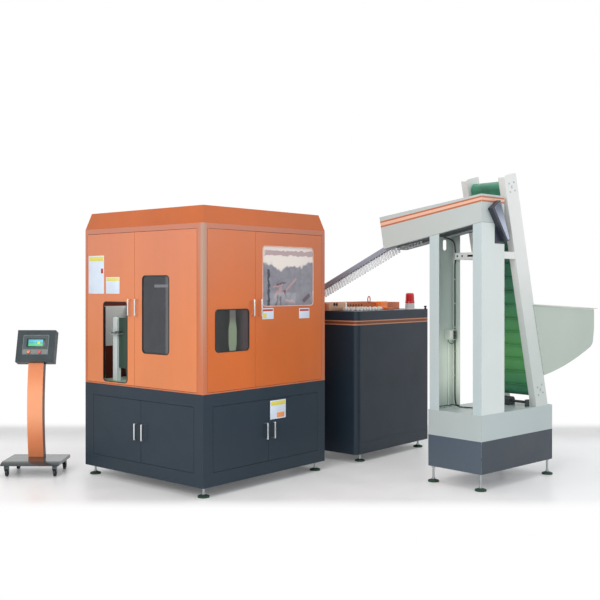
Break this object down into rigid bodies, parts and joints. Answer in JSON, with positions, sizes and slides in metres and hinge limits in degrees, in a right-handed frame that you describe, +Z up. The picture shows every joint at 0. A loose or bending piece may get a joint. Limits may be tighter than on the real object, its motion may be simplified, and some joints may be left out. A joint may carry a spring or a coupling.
{
  "type": "blow moulding machine",
  "caption": "Stretch blow moulding line with an orange and dark cabinet, a preform oven, a loader with hopper, cleated elevator and sorter, and a console on castors.",
  "frame": {"origin": "centre of the whole line's footprint, on the floor", "axes": "+Z up, +X along the line from the cabinet to the oven, +Y from the front doors to the back"},
  "size_m": [3.9355, 3.7816, 2.5088],
  "materials": {
    "base_paint": "satin dark blue-grey paint",
    "orange_paint": "satin orange paint",
    "foot_paint": "dark green-grey feet",
    "bed_paint": "pale green paint",
    "clamp_steel": "machined steel",
    "receiver_paint": "grey-blue paint",
    "panel_parts": "grey switchgear",
    "dark_window": "dark tinted window",
    "clear_window": "clear window with a soft tint",
    "arm_paint": "pinkish red oxide paint",
    "carrier_plastic": "white carriers",
    "lamp_glass": "bright reflector and lamp tubes",
    "beacon_grey": "light grey plastic",
    "beacon_red": "red translucent lens",
    "pale_paint": "pale grey-green paint",
    "drive_paint": "grey guard and motor paint",
    "roller_rubber": "dark grey rollers",
    "belt_green": "green cleated belt",
    "drum_steel": "turned steel",
    "chute_steel": "steel rails",
    "preform_plastic": "clear plastic preforms",
    "console_dark": "glossy dark plate",
    "screen_film": "membrane panel with a screen",
    "start_orange": "orange push button",
    "stop_red": "red push button",
    "fork_steel": "grey pressed forks",
    "wheel_rubber": "black castor wheels"
  },
  "bodies": {
    "line": {"lower_cabinet": "base_paint", "upper_cabinet": "orange_paint", "roof_hood": "orange_paint", "levelling_feet": "foot_paint", "machine_bed": "bed_paint", "clamp_frame": "clamp_steel", "stretch_tower": "bed_paint", "air_receiver": "receiver_paint", "electric_panel": "panel_parts", "oven_casing": "base_paint", "carrier_chain": "carrier_plastic", "oven_cover": "orange_paint", "lamp_bank": "lamp_glass", "beacon_base": "beacon_grey", "beacon_lens": "beacon_red", "loader_base": "pale_paint", "near_column": "pale_paint", "far_column": "pale_paint", "sorter_box": "pale_paint", "sorter_drive": "drive_paint", "elevator_frame": "pale_paint", "elevator_belt": "belt_green", "elevator_motor": "drive_paint", "hopper": "pale_paint", "preform_chute": "chute_steel", "preforms": "preform_plastic", "console_base": "console_dark", "console_post": "orange_paint", "console_box": "base_paint", "console_screen": "screen_film"},
    "front_base_left": {"front_base_door_left": "base_paint"},
    "front_base_right": {"front_base_door_right": "base_paint"},
    "end_base_near": {"end_base_door_near": "base_paint"},
    "end_base_far": {"end_base_door_far": "base_paint"},
    "end_near": {"end_door_near": "orange_paint", "tall_window": "dark_window"},
    "end_far": {"end_door_far": "orange_paint"},
    "front_left": {"front_door_left": "orange_paint", "small_window": "dark_window"},
    "front_right": {"front_door_right": "orange_paint", "big_window": "clear_window"},
    "front_mould_half": {"front_mould": "clamp_steel"},
    "rear_mould_half": {"rear_mould": "clamp_steel"},
    "stretch_unit": {"stretch_carriage": "clamp_steel"},
    "base_unit": {"base_mould": "clamp_steel"},
    "transfer_unit": {"transfer_arm": "arm_paint"},
    "sorter_left": {"sorter_roller_left": "roller_rubber"},
    "sorter_right": {"sorter_roller_right": "roller_rubber"},
    "head_roll": {"head_drum": "drum_steel"},
    "tail_roll": {"tail_drum": "drum_steel"},
    "start_key": {"start_button": "start_orange"},
    "stop_key": {"stop_button": "stop_red"},
    "front_left_castor": {"front_left_fork": "fork_steel"},
    "front_left_roller": {"front_left_wheel": "wheel_rubber"},
    "front_right_castor": {"front_right_fork": "fork_steel"},
    "front_right_roller": {"front_right_wheel": "wheel_rubber"},
    "back_left_castor": {"back_left_fork": "fork_steel"},
    "back_left_roller": {"back_left_wheel": "wheel_rubber"},
    "back_right_castor": {"back_right_fork": "fork_steel"},
    "back_right_roller": {"back_right_wheel": "wheel_rubber"}
  },
  "joints": [
    {"name": "front_base_left_hinge", "type": "hinge", "parent": "line", "child": "front_base_left", "pos_m": [-1.2972, -0.21164, 0.433], "axis": [0, 0, -1], "range_deg": [0, 110]},
    {"name": "front_base_right_hinge", "type": "hinge", "parent": "line", "child": "front_base_right", "pos_m": [-0.0732, -0.21164, 0.433], "axis": [0, 0, 1], "range_deg": [0, 110]},
    {"name": "end_base_near_hinge", "type": "hinge", "parent": "line", "child": "end_base_near", "pos_m": [-1.4002, -0.10864, 0.433], "axis": [0, 0, 1], "range_deg": [0, 110]},
    {"name": "end_base_far_hinge", "type": "hinge", "parent": "line", "child": "end_base_far", "pos_m": [-1.4002, 1.11536, 0.433], "axis": [0, 0, -1], "range_deg": [0, 110]},
    {"name": "end_door_near_hinge", "type": "hinge", "parent": "line", "child": "end_near", "pos_m": [-1.4002, -0.14164, 1.41], "axis": [0, 0, 1], "range_deg": [0, 110]},
    {"name": "end_door_far_hinge", "type": "hinge", "parent": "line", "child": "end_far", "pos_m": [-1.4002, 1.19636, 1.41], "axis": [0, 0, -1], "range_deg": [0, 110]},
    {"name": "front_door_left_hinge", "type": "hinge", "parent": "line", "child": "front_left", "pos_m": [-1.3562, -0.21164, 1.41], "axis": [0, 0, -1], "range_deg": [0, 110]},
    {"name": "front_door_right_hinge", "type": "hinge", "parent": "line", "child": "front_right", "pos_m": [-0.0132, -0.21164, 1.41], "axis": [0, 0, 1], "range_deg": [0, 100]},
    {"name": "front_mould_slide", "type": "slide", "parent": "line", "child": "front_mould_half", "axis": [0, 1, 0], "range_m": [0, 0.11]},
    {"name": "rear_mould_slide", "type": "slide", "parent": "line", "child": "rear_mould_half", "axis": [0, -1, 0], "range_m": [0, 0.11]},
    {"name": "stretch_slide", "type": "slide", "parent": "line", "child": "stretch_unit", "axis": [0, 0, -1], "range_m": [0, 0.17]},
    {"name": "base_mould_slide", "type": "slide", "parent": "line", "child": "base_unit", "axis": [0, 0, 1], "range_m": [0, 0.03]},
    {"name": "transfer_slide", "type": "slide", "parent": "line", "child": "transfer_unit", "axis": [1, 0, 0], "range_m": [0, 0.152]},
    {"name": "sorter_left_spin", "type": "hinge", "parent": "line", "child": "sorter_left", "pos_m": [0.32418, -1.19322, 2.04936], "axis": [0.1166, 0.9776, -0.1754], "continuous": true},
    {"name": "sorter_right_spin", "type": "hinge", "parent": "line", "child": "sorter_right", "pos_m": [0.43142, -1.20601, 2.04936], "axis": [0.1166, 0.9776, -0.1754], "continuous": true},
    {"name": "head_drum_spin", "type": "hinge", "parent": "line", "child": "head_roll", "pos_m": [0.60247, -1.50483, 2.39108], "axis": [0.1184, 0.993, 0], "continuous": true},
    {"name": "tail_drum_spin", "type": "hinge", "parent": "line", "child": "tail_roll", "pos_m": [1.00821, -1.55322, 0.72753], "axis": [0.1184, 0.993, 0], "continuous": true},
    {"name": "start_press", "type": "slide", "parent": "line", "child": "start_key", "axis": [0.7221, 0.6189, -0.309], "range_m": [0, 0.003], "stiffness_N_per_m": 1000, "springref_m": -0.001},
    {"name": "stop_press", "type": "slide", "parent": "line", "child": "stop_key", "axis": [0.7221, 0.6189, -0.309], "range_m": [0, 0.003], "stiffness_N_per_m": 1000, "springref_m": -0.001},
    {"name": "front_left_swivel", "type": "hinge", "parent": "line", "child": "front_left_castor", "pos_m": [-1.91145, 1.63145, 0.091], "axis": [0, 0, 1], "continuous": true},
    {"name": "front_left_roll", "type": "hinge", "parent": "front_left_castor", "child": "front_left_roller", "pos_m": [-1.89779, 1.64317, 0.031], "axis": [0.6508, -0.7593, 0], "continuous": true},
    {"name": "front_right_swivel", "type": "hinge", "parent": "line", "child": "front_right_castor", "pos_m": [-1.64984, 1.32623, 0.091], "axis": [0, 0, 1], "continuous": true},
    {"name": "front_right_roll", "type": "hinge", "parent": "front_right_castor", "child": "front_right_roller", "pos_m": [-1.63617, 1.33794, 0.031], "axis": [0.6508, -0.7593, 0], "continuous": true},
    {"name": "back_left_swivel", "type": "hinge", "parent": "line", "child": "back_left_castor", "pos_m": [-1.67456, 1.8345, 0.091], "axis": [0, 0, 1], "continuous": true},
    {"name": "back_left_roll", "type": "hinge", "parent": "back_left_castor", "child": "back_left_roller", "pos_m": [-1.66089, 1.84621, 0.031], "axis": [0.6508, -0.7593, 0], "continuous": true},
    {"name": "back_right_swivel", "type": "hinge", "parent": "line", "child": "back_right_castor", "pos_m": [-1.41295, 1.52927, 0.091], "axis": [0, 0, 1], "continuous": true},
    {"name": "back_right_roll", "type": "hinge", "parent": "back_right_castor", "child": "back_right_roller", "pos_m": [-1.39928, 1.54098, 0.031], "axis": [0.6508, -0.7593, 0], "continuous": true}
  ],
  "couplings": [
    {"joint": "rear_mould_slide", "follows": "front_mould_slide", "ratio": 1},
    {"joint": "sorter_right_spin", "follows": "sorter_left_spin", "ratio": -1},
    {"joint": "tail_drum_spin", "follows": "head_drum_spin", "ratio": 1}
  ]
}
